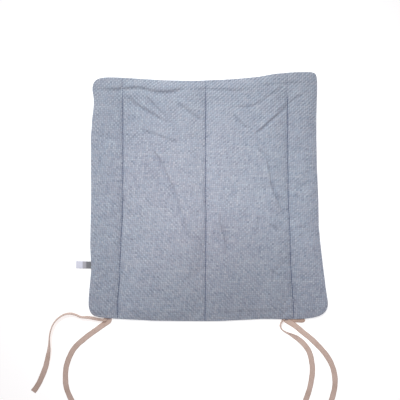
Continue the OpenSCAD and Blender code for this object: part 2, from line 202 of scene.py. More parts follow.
# ------------------------------------------------------------- pad outline
LEFT = smooth_table([(-215, -199), (-187, -200.3), (-178, -200), (-150, -197.5), (-119, -194.5), (-100, -195.5), (-80, -196.5),
                     (-40, -195.8), (0, -195), (107, -195.3), (138, -193), (156, -190.6), (171, -190.6), (186, -194.2), (215, -196.8)], -230, 230, 4)
RIGHT = smooth_table([(-215, 210), (-186, 210.4), (-177, 208.8), (-166, 206), (-153, 203.4), (-119, 199), (-77, 194), (-44, 191), (0, 190.4),
                      (54, 188), (107, 187), (140, 187.0), (176, 188.2), (217, 188.6)], -230, 230, 5)
BACK = smooth_table([(-210, -201), (-176, -201.4), (-160, -202), (-147, -203), (-80, -206.6), (-10, -207.2), (23, -207), (57, -205.2),
                     (91, -203.4), (124, -203.8), (152, -204), (166, -203.2), (184, -202.4), (215, -201.6)], -230, 230, 5)
FRONT = smooth_table([(-205, 207.4), (-175, 207.2), (-145, 206), (-103, 203.4), (-70, 201.4), (-20, 200.4), (7, 201.6), (42, 203),
                      (68, 205), (95, 207.6), (109, 210.4), (122, 212.6), (136, 213.6), (150, 214.9), (183, 215.7), (205, 215.7)], -230, 230, 5)
Q_LEFT = smooth_table([(-210, -150), (-178, -150), (-127, -146.4), (-85, -145), (-35, -142.2), (0, -141), (133, -141), (205, -141.8)], -230, 230, 6)
Q_MID = smooth_table([(-210, -2), (-153, -1), (-19, 0), (0, -0.6), (205, -0.6)], -230, 230, 8)
Q_RIGHT = smooth_table([(-210, 149), (-175, 148), (-119, 144), (-52, 142), (0, 139.4), (153, 138), (205, 138)], -230, 230, 6)
UQ = 0.73


def corner_power(u, v):
    return np.where(v > 0, np.where(u < 0, 19.0, 40.0), np.where(u < 0, 21.0, 15.5))


def plan(u, v):
    """Grid position, from -1 to 1 each way, to the drawing's plan in mm. Arrays."""
    u, v = np.asarray(u, float), np.asarray(v, float)
    m = np.maximum(np.abs(u), np.abs(v))
    n = corner_power(u, v)
    k = (np.abs(u) ** n + np.abs(v) ** n + 1e-300) ** (1 / n)
    f = np.where(m > 1e-9, m / np.maximum(k, 1e-9), 1.0)
    t = np.clip((m - 0.78) / 0.20, 0, 1)               # the corners are rounded near the seam only,
    f = 1 + (f - 1) * t * t * (3 - 2 * t)              # so the stitched lines stay straight
    a, b = u * f, v * f
    xa = a * 195
    y = BACK(xa) * (1 - b) / 2 + FRONT(xa) * (1 + b) / 2
    L, A, B, C, R = LEFT(y), Q_LEFT(y), Q_MID(y), Q_RIGHT(y), RIGHT(y)
    x = np.where(a < -UQ, L + (A - L) * (a + 1) / (1 - UQ),
        np.where(a < 0, A + (B - A) * (a + UQ) / UQ,
        np.where(a < UQ, B + (C - B) * a / UQ, C + (R - C) * (a - UQ) / (1 - UQ))))
    return x, y


def spread(lo, hi, first, grow, most):
    """Distances from a held line at lo to one at hi, fine beside both."""
    d, s = [0.0], first
    while d[-1] + s < (hi - lo) / 2:
        d.append(d[-1] + s)
        s = min(most, s * grow)
    d = np.array(d)
    return np.concatenate([lo + d, (hi - d)[::-1]])


def lines_from(parts):
    out = [parts[0]]
    for p in parts[1:]:
        out.append(p[1:])
    return np.concatenate(out)


def quilt_lines(first, grow, most):
    u = lines_from([spread(a, b, first, grow, most) for a, b in ((-200, -146), (-146, 0), (0, 146), (146, 200))]) / 200
    return u, spread(-200, 200, first, grow, most) / 200


U_LINES, V_LINES = quilt_lines(0.8, 1.18, 1.75)   # what is shown
U_ROUGH, V_ROUGH = quilt_lines(0.9, 1.35, 3.6)    # what is simulated
print("GRID", len(U_LINES), len(V_LINES), len(U_ROUGH), len(V_ROUGH))


def groove(x, y, line, depth, width, ridge=0.5, side=1.0, taper=0.22):
    """Height of one crease: a soft ridge that drops steeply into a narrow groove along a line."""
    P = catmull(np.column_stack([np.asarray(line, float), np.zeros((len(line), 1))]), 3.0)[:, :2]
    seg = np.diff(P, axis=0)
    ln = np.linalg.norm(seg, axis=1)
    s0 = np.concatenate([[0], np.cumsum(ln)])
    total = s0[-1]
    lo, hi = P.min(0) - 7 * width, P.max(0) + 7 * width
    out = np.zeros_like(x)
    near = (x > lo[0]) & (x < hi[0]) & (y > lo[1]) & (y < hi[1])
    if not near.any():
        return out
    px, py = x[near], y[near]
    best = np.full(px.shape, 1e9)
    sgn = np.zeros(px.shape)
    at = np.zeros(px.shape)
    for i in range(len(seg)):
        t = np.clip(((px - P[i, 0]) * seg[i, 0] + (py - P[i, 1]) * seg[i, 1]) / ln[i] ** 2, 0, 1)
        dx, dy = px - P[i, 0] - seg[i, 0] * t, py - P[i, 1] - seg[i, 1] * t
        d = np.hypot(dx, dy)
        c = np.sign(seg[i, 0] * dy - seg[i, 1] * dx)
        m = d < best
        best[m], sgn[m], at[m] = d[m], c[m], (s0[i] + ln[i] * t)[m]
    e = np.minimum(at, total - at) / (taper * total)
    fade = np.clip(e, 0, 1)
    fade = fade * fade * (3 - 2 * fade)
    sd = best * sgn * side
    crest = np.where(sd < 1.1 * width, np.exp(-((sd - 1.1 * width) / (1.1 * width)) ** 2), np.exp(-((sd - 1.1 * width) / (3.2 * width)) ** 2))
    trough = np.where(sd > -0.5 * width, np.exp(-((sd + 0.5 * width) / (0.8 * width)) ** 2), np.exp(-((sd + 0.5 * width) / (1.6 * width)) ** 2))
    out[near] = depth * (ridge * crest - trough) * fade
    return out


def px(*pts):
    return [((a - 206) * 1.7, (199 - b) * 1.7) for a, b in pts]


CREASES = [
    # the roll of cloth below the front seam: points, depth, half width, ridge, side
    (px((94, 88), (99, 88.8), (109.5, 90), (121, 89.6), (133, 88.4), (142, 89), (150, 91), (161, 92.7), (173, 92), (181, 89.8), (192, 87.6)), 2.5, 3.4, 0.6, 1),
    (px((190, 89), (215, 90), (238, 91), (252, 89)), 1.1, 2.2, 0.6, 1),
    (px((258, 86), (280, 84), (303, 83)), 0.9, 2.4, 0.5, 1),
    (px((143, 92), (146, 96), (152, 103), (160, 111), (168, 119)), 2.3, 3.3, 0.6, 1),
    (px((127, 95), (133, 101), (137.5, 105), (150, 112.5), (162.4, 120), (170, 124)), 2.4, 3.3, 0.6, 1),
    (px((176, 102), (180, 105), (191, 113), (203, 122)), 2.0, 3.2, 0.6, 1),
    (px((139, 128), (146, 131.5), (158, 135.5), (173, 141), (182, 143)), 1.3, 3.6, 0.5, 1),
    (px((152, 148), (156, 153.5), (162.4, 164), (169.4, 180), (175, 192), (180, 207), (185, 225), (191, 243)), 2.7, 1.9, 0.6, 1, 0.12),
    (px((305, 92), (299.5, 96), (288, 103), (280, 109), (272, 114)), 1.4, 1.8, 0.6, -1),
    (px((291, 103), (283, 110), (270, 121), (262, 128.5), (253, 136)), 2.2, 1.8, 0.6, -1),
    (px((290, 81), (279, 89), (267, 97.5), (257, 104), (248, 107), (235, 107), (226, 106)), 1.0, 1.9, 0.6, -1),
    (px((231, 113), (235, 117), (241, 123), (248, 130)), 1.9, 2.0, 0.6, 1),
    (px((255, 147), (259, 152), (266, 158), (268.4, 169), (271, 184), (276, 198), (283, 212)), 3.3, 1.8, 0.6, -1, 0.15),
    (px((218, 213), (223, 233), (228, 253)), 3.0, 2.0, 0.6, -1),
    (px((257, 216), (258, 230)), 1.9, 1.8, 0.5, -1),
    (px((270, 223), (280, 232)), 1.9, 1.8, 0.5, 1),
    (px((270, 268), (279, 276)), 1.8, 1.8, 0.5, 1),
    (px((98, 310), (140, 311), (180, 312), (206, 312)), 0.6, 3.4, 0.6, 1),
    (px((208, 312), (250, 310), (292, 308.5)), 0.7, 3.4, 0.6, 1),
    (px((98, 118), (100, 160), (99, 202)), 0.5, 2.6, 0.4, -1),
    (px((310, 118), (309, 160), (310, 202)), 0.5, 2.6, 0.4, 1),
]


def line_dist(x, y):
    return np.min([np.abs(x - Q_LEFT(y)), np.abs(x - Q_MID(y)), np.abs(x - Q_RIGHT(y))], axis=0)


def edge_dist(u, v):
    """About how far inside the seam a grid position is, in mm."""
    m = np.maximum(np.abs(u), np.abs(v))
    return (1 - m) * 200


SEAM_Z, CROWN = 3.3, 10.0
CREASE = 1.3


def dome(d, r):
    s = np.clip(d / r, 0, 1)
    return np.sqrt(np.maximum(1 - (1 - s) ** 2, 0))


def waves(x, y):
    """Low, soft unevenness of the wadding, fixed by these numbers."""
    h = 0.55 * np.sin(x / 31 + 0.6) * np.sin(y / 37 + 1.1) + 0.40 * np.sin(x / 17 - y / 43 + 2.0)
    h += 0.28 * np.sin(x / 23 + y / 19 + 0.4) + 0.20 * np.sin(x / 11 + 1.7) * np.sin(y / 13 + 0.2)
    return h


def top_height(x, y, u, v):
    e = edge_dist(u, v)
    d = line_dist(x, y)
    # the stitched valleys are deep, but fade where the cloth rolls over them at the front
    held = 1 - 0.5 * np.clip((y - 166) / 16.0, 0, 1)
    hold = 1 - held * (0.48 * np.exp(-(d / 3.0) ** 1.4) + 0.20 * np.exp(-(d / 5.0) ** 1.5)) - 0.27 * np.exp(-(d / 17.0) ** 2)
    # small puckers that the stitches draw along each line
    pucker = 0.22 * np.sin(y / 2.9 + 1.3 * np.sin(y / 23)) * np.exp(-((d - 4) / 3.2) ** 2)
    z = SEAM_Z + 1.0 + (CROWN - SEAM_Z - 1.0) * dome(e, 15) * hold
    z -= 4.4 * np.exp(-((y + 214) / 44.0) ** 2) * np.exp(-((x - 45) / 90.0) ** 2) * dome(e, 12) * np.clip(1.15 * hold - 0.1, 0, 1)
    z += (waves(x, y) * 0.8 + pucker) * dome(e - 2, 22) * np.clip(d / 8, 0.15, 1)
    return z


def grid_of(U, V):
    uu, vv = np.meshgrid(U, V)
    return uu.ravel(), vv.ravel()


def quads(nu, nv, off=0, flip=False):
    i = np.arange(nu * nv).reshape(nv, nu)
    a, b, c, d = i[:-1, :-1].ravel(), i[:-1, 1:].ravel(), i[1:, 1:].ravel(), i[1:, :-1].ravel()
    q = np.column_stack([a, b, c, d]) + off
    return q[:, ::-1] if flip else q


def rim_index(nu, nv):
    i = np.arange(nu * nv).reshape(nv, nu)
    return np.concatenate([i[0, :], i[1:, -1], i[-1, -2::-1], i[-2:0:-1, 0]])


def weave_uv(x, y):
    """Yarn directions, in metres: the cloth's grain leans a little against the pad's sides."""
    lean = 0.092 - 0.030 * x / 200
    return np.column_stack([(x - lean * y) * MM, (y + 0.02 * x) * MM])


def inward(xy_rim, d):
    """Moves a closed ring of plan points inwards by d mm."""
    nxt, prv = np.roll(xy_rim, -1, 0), np.roll(xy_rim, 1, 0)
    t = nxt - prv
    t /= np.maximum(np.linalg.norm(t, axis=1), 1e-9)[:, None]
    nrm = np.column_stack([-t[:, 1], t[:, 0]])
    return xy_rim + nrm * d


uu, vv = grid_of(U_LINES, V_LINES)
NU, NV = len(U_LINES), len(V_LINES)
X, Y = plan(uu, vv)
RIM = rim_index(NU, NV)


def puffed():
    """The cloth between the stitched lines, pushed out a little by its wadding: a short cloth simulation."""
    u, v = grid_of(U_ROUGH, V_ROUGH)
    nu, nv = len(U_ROUGH), len(V_ROUGH)
    x, y = plan(u, v)
    z = top_height(x, y, u, v)
    mesh = bpy.data.meshes.new("puff")
    mesh.from_pydata([(a * MM, b * MM, c * MM) for a, b, c in zip(x, y, z)], [], [tuple(int(i) for i in f) for f in quads(nu, nv)])
    ob = bpy.data.objects.new("puff", mesh)
    scene.collection.objects.link(ob)
    g = ob.vertex_groups.new(name="pin")
    pinned = np.where((line_dist(x, y) < 0.6) | (edge_dist(u, v) < 0.6))[0]
    g.add([int(i) for i in pinned], 1.0, "REPLACE")
    m = ob.modifiers.new("cloth", "CLOTH")
    s = m.settings
    s.quality = 5
    s.mass = 0.12
    s.tension_stiffness = s.compression_stiffness = 18
    s.shear_stiffness = 6
    s.bending_stiffness = 0.12
    s.tension_damping = s.compression_damping = s.shear_damping = 12
    s.air_damping = 3
    s.vertex_group_mass = "pin"
    s.pin_stiffness = 5
    s.shrink_min = -0.006
    s.use_pressure = True
    s.uniform_pressure_force = 1.2
    s.effector_weights.gravity = 0
    m.collision_settings.use_collision = False
    m.collision_settings.use_self_collision = False
    m.point_cache.frame_start, m.point_cache.frame_end = 1, 16
    for f in range(1, 17):
        scene.frame_set(f)
    dg = bpy.context.evaluated_depsgraph_get()
    em = ob.evaluated_get(dg).to_mesh()
    co = np.zeros(len(em.vertices) * 3, np.float32)
    em.vertices.foreach_get("co", co)
    co = co.reshape(-1, 3).astype(float) / MM
    ob.evaluated_get(dg).to_mesh_clear()
    scene.frame_set(1)
    bpy.data.objects.remove(ob)
    shift = co - np.column_stack([x, y, z])
    far = np.linalg.norm(shift, axis=1)
    print("PUFF", round(float(far.max()), 2), round(float(np.median(far)), 2))
    shift *= (np.minimum(far, 2.2) / np.maximum(far, 1e-9))[:, None]
    shift[:, :2] *= 0.3
    out = []
    for c in range(3):
        rows = shift[:, c].reshape(nv, nu)
        wide = np.array([np.interp(U_LINES, U_ROUGH, row) for row in rows])
        out.append(np.array([np.interp(V_LINES, V_ROUGH, col) for col in wide.T]).T.ravel())
    return np.column_stack(out)


Z0 = top_height(X, Y, uu, vv)
move = np.zeros((len(X), 3))
move = puffed()
XT, YT, ZT = X + move[:, 0], Y + move[:, 1], Z0 + move[:, 2]
fade_edge = dome(edge_dist(uu, vv), 10)
near_line = np.clip(line_dist(X, Y) / 5, 0, 1)
for line, depth, width, ridge, side, *taper in CREASES:
    ZT += groove(X, Y, line, depth * CREASE, width, ridge, side, *taper) * fade_edge * (0.3 + 0.7 * near_line)
print("TOP z", round(float(ZT.min()), 2), round(float(ZT.max()), 2))

rim_xy = np.column_stack([X[RIM], Y[RIM]])


def cloth_sheet(name, xs, ys, zs, top):
    """One cover panel: its grid, then two rings that turn the cloth in at the seam."""
    uv = weave_uv(X, Y)
    nrim = len(RIM)
    base = len(xs)
    in1, in2 = inward(rim_xy, 0.35), inward(rim_xy, 1.6)
    if top:
        zz = [SEAM_Z + 0.45, SEAM_Z + 0.12]
    else:
        zz = [SEAM_Z - 0.45, SEAM_Z - 0.12]
    V = np.vstack([np.column_stack([xs, ys, zs]), np.column_stack([in1, np.full(nrim, zz[0])]), np.column_stack([in2, np.full(nrim, zz[1])])])
    F = [tuple(f) for f in quads(NU, NV, 0, flip=not top)]
    for ring_a, ring_b in [(RIM, base + np.arange(nrim)), (base + np.arange(nrim), base + nrim + np.arange(nrim))]:
        for k in range(nrim):
            j = (k + 1) % nrim
            q = (ring_a[k], ring_b[k], ring_b[j], ring_a[j])
            F.append(q if top else q[::-1])
    UV = np.vstack([uv, weave_uv(in1[:, 0] * 1.004, in1[:, 1] * 1.004), weave_uv(in2[:, 0] * 1.012, in2[:, 1] * 1.012)])
    return new_mesh(name, V, F, UV)


top = cloth_sheet("top_cover_cloth", XT, YT, ZT, True)

# underside: flat on its seat, rounding up to the seam, dimpled along the quilting lines
e = edge_dist(uu, vv)
ZB = (SEAM_Z - 1.0) * (1 - dome(e, 9)) + 0.02
ZB += 0.9 * np.exp(-(line_dist(X, Y) / 2.2) ** 2) * np.clip(e / 6, 0, 1)
ZB += 0.18 * np.clip(waves(X * 1.3, Y * 1.2) + 0.2, 0, 1)
bottom = cloth_sheet("bottom_cover_cloth", X, Y, ZB, False)

# wadding between them, a closed form
iu = np.where(np.abs(U_LINES) <= 0.986)[0][::2]
iv = np.where(np.abs(V_LINES) <= 0.986)[0][::2]
grid_top = ZT.reshape(NV, NU)
low = grid_top.copy()
for dv in (-2, -1, 0, 1, 2):
    for du in (-2, -1, 0, 1, 2):
        low = np.minimum(low, np.roll(np.roll(grid_top, dv, 0), du, 1))
sel_u, sel_v = U_LINES[iu], V_LINES[iv]
pick = (iv[:, None] * NU + iu[None, :]).ravel()
wx, wy = XT[pick], YT[pick]
wz = np.maximum(low.ravel()[pick] - 1.0, 2.2)
wn = len(wx)
wrim = rim_index(len(sel_u), len(sel_v))
wfaces = [tuple(f) for f in quads(len(sel_u), len(sel_v))] + [tuple(f) for f in quads(len(sel_u), len(sel_v), wn, flip=True)]
for k in range(len(wrim)):
    j = (k + 1) % len(wrim)
    wfaces.append((wrim[k], wrim[j], wn + wrim[j], wn + wrim[k])[::-1])
wadding = new_mesh("wadding_sheet", np.vstack([np.column_stack([wx, wy, wz]), np.column_stack([wx, wy, np.full(wn, 1.7)])]), wfaces)


# --------------------------------------------------------------- stitching
def stitches(name, pts, length, gap, dia, dip, lift=0.0, wobble=0.0, seed=1, side=None):
    """Separate stitches along a line: each is a short thread that dives into the cloth at its ends."""
    P = np.asarray(pts, float)
    s = np.concatenate([[0], np.cumsum(np.linalg.norm(np.diff(P, axis=0), axis=1))])
    at = lambda q: np.column_stack([np.interp(q, s, P[:, c]) for c in range(3)])
    rng = np.random.default_rng(seed)
    verts, faces, uvs = [], [], []
    q, sides, rings = 0.3, 6, 7
    while q + length < s[-1]:
        t = np.linspace(0, 1, rings)
        c = at(q + t * length)
        c[:, 2] += lift + dip * (-(np.abs(2 * t - 1) ** 4))
        if side is not None:
            c += side(q, t)
        tg = np.gradient(c, axis=0)
        tg /= np.linalg.norm(tg, axis=1)[:, None]
        h = np.cross([0, 0, 1.0], tg)
        h /= np.maximum(np.linalg.norm(h, axis=1), 1e-9)[:, None]
        w = np.cross(tg, h)
        c += h * rng.normal(0, wobble)
        r = dia / 2 * np.array([0.55, 0.9, 1, 1, 1, 0.9, 0.55])
        o = len(verts)
        for i in range(rings):
            for k in range(sides):
                an = 2 * math.pi * k / sides
                verts.append(c[i] + (h[i] * math.cos(an) + w[i] * math.sin(an)) * r[i])
                uvs.append([k / sides * dia * 3.1 * MM, (q + t[i] * length) * MM])
        for i in range(rings - 1):
            for k in range(sides):
                b = (k + 1) % sides
                faces.append((o + i * sides + k, o + (i + 1) * sides + k, o + (i + 1) * sides + b, o + i * sides + b)[::-1])
        faces.append(tuple(o + k for k in range(sides))[::-1])
        faces.append(tuple(o + (rings - 1) * sides + k for k in range(sides)))
        q += length + gap
    return new_mesh(name, verts, faces, uvs)


thread_pieces = []
col_of = {"left": int(np.argmin(np.abs(U_LINES + UQ))), "centre": int(np.argmin(np.abs(U_LINES))), "right": int(np.argmin(np.abs(U_LINES - UQ)))}
print("LINE COLS", {k: float(U_LINES[c]) for k, c in col_of.items()})
for i, side_name in enumerate(["left", "centre", "right"]):
    c = col_of[side_name]
    ids = np.arange(NV) * NU + c
    ids = ids[2:-2]
    up = stitches(side_name + "_quilting_top_stitches", np.column_stack([XT[ids], YT[ids], ZT[ids] + 0.30 - (0.52, 0.42, 0.74)[i] * np.clip((YT[ids] - 162) / 18.0, 0, 1)]), 3.2, 0.35, 1.2, 0.5, 0, 0.05, 20 + i)
    ids2 = ids[1:-1]
    under = stitches(side_name + "_quilting_under_stitches", np.column_stack([X[ids2], Y[ids2], np.maximum(ZB[ids2] - 0.26, 0.3)]), 2.9, 0.8, 0.55, -0.7, 0, 0.05, 30 + i)
    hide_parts(side_name + "_quilting_needle_thread")
    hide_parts(side_name + "_quilting_bobbin_thread")
    thread_pieces += [up, under]

# seam stitches, seen only between the two covers' turned edges
ring = inward(rim_xy, 1.35)
ring = np.vstack([ring, ring[:1]])
seam = stitches("edge_seam_stitches", np.column_stack([ring, np.full(len(ring), SEAM_Z)]), 2.6, 0.9, 0.5, 0.0, 0, 0.0, 41)
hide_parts("seam_thread")
bx = np.linspace(-52, 44, 80)
by = BACK(bx)
closing = stitches("closing_ladder_stitch", np.column_stack([bx, by + 0.55, np.full(len(bx), SEAM_Z)]), 1.7, 2.6, 0.42, 0.0, 0, 0.0, 43,
                   side=lambda q, t: np.column_stack([0 * t, -0.35 * np.sin(np.pi * t), 1.5 * (t - 0.5)]))
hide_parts("closing_stitch")
thread_pieces += [seam, closing]


def tack(name, x0, x1, y, z, seed):
    """Close zigzag back and forth across the tape where the seam catches it."""
    n = int((x1 - x0) / 0.8)
    pts = [[x0 + (x1 - x0) * k / n, y + (0.7 if k % 2 else -0.7), z] for k in range(n + 1)]
    return stitches(name, pts, 1.35, 0.12, 0.45, 0.25, 0, 0.02, seed)


lt = tack("left_tie_tack_stitches", -171, -161.5, -203.4, 4.15, 51)
rt = tack("right_tie_tack_stitches", 129.8, 139, -205.0, 4.0, 52)
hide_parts("left_tie_back_tack")
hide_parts("right_tie_back_tack")
thread_pieces += [lt, rt]

# --------------------------------------------------------- right tie's fold
def fold_tongue(name):
    """The tape's middle, folded back on itself, showing as a rounded end under the seam."""
    A = np.linspace(-math.pi / 2, math.pi / 2, 15)
    line = [[148, -201.5], [152, -202.6], [156, -203.4], [160, -203.8]]
    verts, faces, uvs = [], [], []
    xs = np.linspace(144, 168.6, 29)
    rows = np.linspace(0, 1, 11)
    for side in (1, -1):
        for i, x in enumerate(xs):
            t = (x - 161.5) / 7.1
            near = min(1.0, max(0.0, (150 - x) / 6))       # thinner where it runs onto the tape
            half = 4.2 * (1 if t < 0 else math.sqrt(max(0, 1 - t * t)))
            yc = -204.2 - 0.9 * np.clip((x - 150) / 18, 0, 1)
            for r in rows:
                a = 2 * r - 1
                y = yc - 0.9 + a * half + 3.6 * near * max(0.0, -a)
                round_edge = math.sqrt(max(0, 1 - min(1, abs(a)) ** 6)) * (1 if t < 0 else math.sqrt(max(0.0, 1 - t ** 6)))
                verts.append([x, y, 2.0 + 0.5 * near + side * (0.85 - 0.35 * near) * round_edge + 0.25 * math.sin(x / 2.3) * (1 - near)])
                uvs.append([(y + 205) * MM, (x - 150) * MM + (0.03 if side < 0 else 0)])
    nr, nx = len(rows), len(xs)
    for sd in range(2):
        o = sd * nr * nx
        for i in range(nx - 1):
            for k in range(nr - 1):
                q = (o + i * nr + k, o + (i + 1) * nr + k, o + (i + 1) * nr + k + 1, o + i * nr + k + 1)
                faces.append(q if sd == 0 else q[::-1])
    o2 = nr * nx
    for i in range(nx - 1):
        for k in (0, nr - 1):
            q = (i * nr + k, (i + 1) * nr + k, o2 + (i + 1) * nr + k, o2 + i * nr + k)
            faces.append(q[::-1] if k == 0 else q)
    for k in range(nr - 1):
        faces.append((k, k + 1, o2 + k + 1, o2 + k)[::-1])
        b = (nx - 1) * nr
        faces.append((b + k, b + k + 1, o2 + b + k + 1, o2 + b + k))
    return new_mesh(name, verts, faces, uvs)


tongue = fold_tongue("right_tie_fold")

# ------------------------------------------------------------------- label
def label_piece():
    """A folded loop of smooth tape: out of the seam, round its fold and back."""
    yc, half = -112.0, 6.0
    top_line = [(-190.5, 3.55), (-194, 3.5), (-196.5, 3.3), (-200, 2.9), (-205, 2.35), (-210, 2.0), (-215, 1.85), (-218.6, 1.8)]
    fold = [(-219.6, 1.72), (-220.4, 1.45), (-220.75, 1.1), (-220.4, 0.75), (-219.6, 0.5)]
    low = [(-218.6, 0.42), (-215, 0.42), (-210, 0.6), (-205, 1.15), (-200, 1.95), (-196.5, 2.65), (-194, 2.95), (-190.5, 3.05)]
    L = catmull([[a, b, 0, 0] for a, b in top_line + fold + low], 0.7)[:, :2]
    s = np.concatenate([[0], np.cumsum(np.linalg.norm(np.diff(L, axis=0), axis=1))])
    cols = np.linspace(-1, 1, 13)
    verts, uvs = [], []
    for i, (a, b) in enumerate(L):
        for c in cols:
            out = np.clip((-196 - a) / 24, 0, 1)
            y = yc + c * half * (1 + 0.03 * out) + 0.5 * out * out
            z = b + 0.28 * out * math.sin(1.6 * c + 0.5) + 0.1 * out * math.sin(5 * c + a / 4)
            verts.append([a, y, max(z, 0.2)])
            uvs.append([(c + 1) * half * MM, s[i] * MM])
    m = len(cols)
    faces = [(i * m + k, i * m + k + 1, (i + 1) * m + k + 1, (i + 1) * m + k) for i in range(len(L) - 1) for k in range(m - 1)]
    ob = new_mesh("folded_side_label", verts, faces, uvs)
    so = ob.modifiers.new("tape thickness", "SOLIDIFY")
    so.thickness, so.offset = 0.00026, 0.0
    return ob, float(s[-1])


label, label_len = label_piece()
print("LABEL", label_len)


# --------------------------------------------------------------- materials
class Nodes:
    """Short names for building a material's node tree."""

    def __init__(self, name):
        self.mat = bpy.data.materials.new(name)
        self.mat.use_nodes = True
        self.t = self.mat.node_tree
        self.t.nodes.clear()
        self.out = self.t.nodes.new("ShaderNodeOutputMaterial")
        self.bsdf = self.t.nodes.new("ShaderNodeBsdfPrincipled")
        self.t.links.new(self.bsdf.outputs[0], self.out.inputs[0])

    def link(self, a, b):
        self.t.links.new(a, b)

    def put(self, sock, value):
        if isinstance(value, bpy.types.NodeSocket):
            self.t.links.new(value, sock)
        else:
            sock.default_value = value

    def uv(self):
        n = self.t.nodes.new("ShaderNodeUVMap")
        n.uv_map = "UVMap"
        return n.outputs[0]

    def obj(self):
        return self.t.nodes.new("ShaderNodeTexCoord").outputs["Object"]

    def xyz(self, v):
        n = self.t.nodes.new("ShaderNodeSeparateXYZ")
        self.put(n.inputs[0], v)
        return n.outputs[0], n.outputs[1], n.outputs[2]

    def vec(self, x, y, z=0.0):
        n = self.t.nodes.new("ShaderNodeCombineXYZ")
        for s, v in zip(n.inputs, (x, y, z)):
            self.put(s, v)
        return n.outputs[0]

    def math(self, op, a, b=0.0, c=None, clamp=False):
        n = self.t.nodes.new("ShaderNodeMath")
        n.operation = op
        n.use_clamp = clamp
        self.put(n.inputs[0], a)
        self.put(n.inputs[1], b)
        if c is not None:
            self.put(n.inputs[2], c)
        return n.outputs[0]

    def noise(self, v, scale, detail=2.0, rough=0.5):
        n = self.t.nodes.new("ShaderNodeTexNoise")
        self.put(n.inputs["Vector"], v)
        n.inputs["Scale"].default_value = scale
        n.inputs["Detail"].default_value = detail
        n.inputs["Roughness"].default_value = rough
        return n.outputs[0]

    def white(self, v):
        n = self.t.nodes.new("ShaderNodeTexWhiteNoise")
        n.noise_dimensions = "2D"
        self.put(n.inputs["Vector"], v)
        return n.outputs[0]

    def ramp(self, f, stops):
        n = self.t.nodes.new("ShaderNodeValToRGB")
        while len(n.color_ramp.elements) < len(stops):
            n.color_ramp.elements.new(0.5)
        for el, (p, c) in zip(n.color_ramp.elements, stops):
            el.position = p
            el.color = (*c, 1)
        self.put(n.inputs[0], f)
        return n.outputs[0]

    def mix(self, f, a, b, kind="MIX"):
        n = self.t.nodes.new("ShaderNodeMix")
        n.data_type = "RGBA"
        n.blend_type = kind
        self.put(n.inputs[0], f)
        self.put(n.inputs[6], a if not isinstance(a, tuple) else (*a, 1))
        self.put(n.inputs[7], b if not isinstance(b, tuple) else (*b, 1))
        return n.outputs[2]

    def bump(self, h, strength, distance, normal=None):
        n = self.t.nodes.new("ShaderNodeBump")
        n.inputs["Strength"].default_value = strength
        n.inputs["Distance"].default_value = distance
        self.put(n.inputs["Height"], h)
        if normal is not None:
            self.put(n.inputs["Normal"], normal)
        return n.outputs[0]


def lin(hexa):
    v = [int(hexa[i:i + 2], 16) / 255 for i in (1, 3, 5)]
    return tuple(c / 12.92 if c <= 0.04045 else ((c + 0.055) / 1.055) ** 2.4 for c in v)


PITCH_X, PITCH_Y = 0.003434, 0.00327  # yarn spacing, metres
GAIN = (1.155, 1.142, 1.07)
TONES = [tuple(a * g for a, g in zip(lin(h), GAIN)) for h in ("#7E8699", "#9CA3B5", "#A7AEBE", "#BDC3CE")]


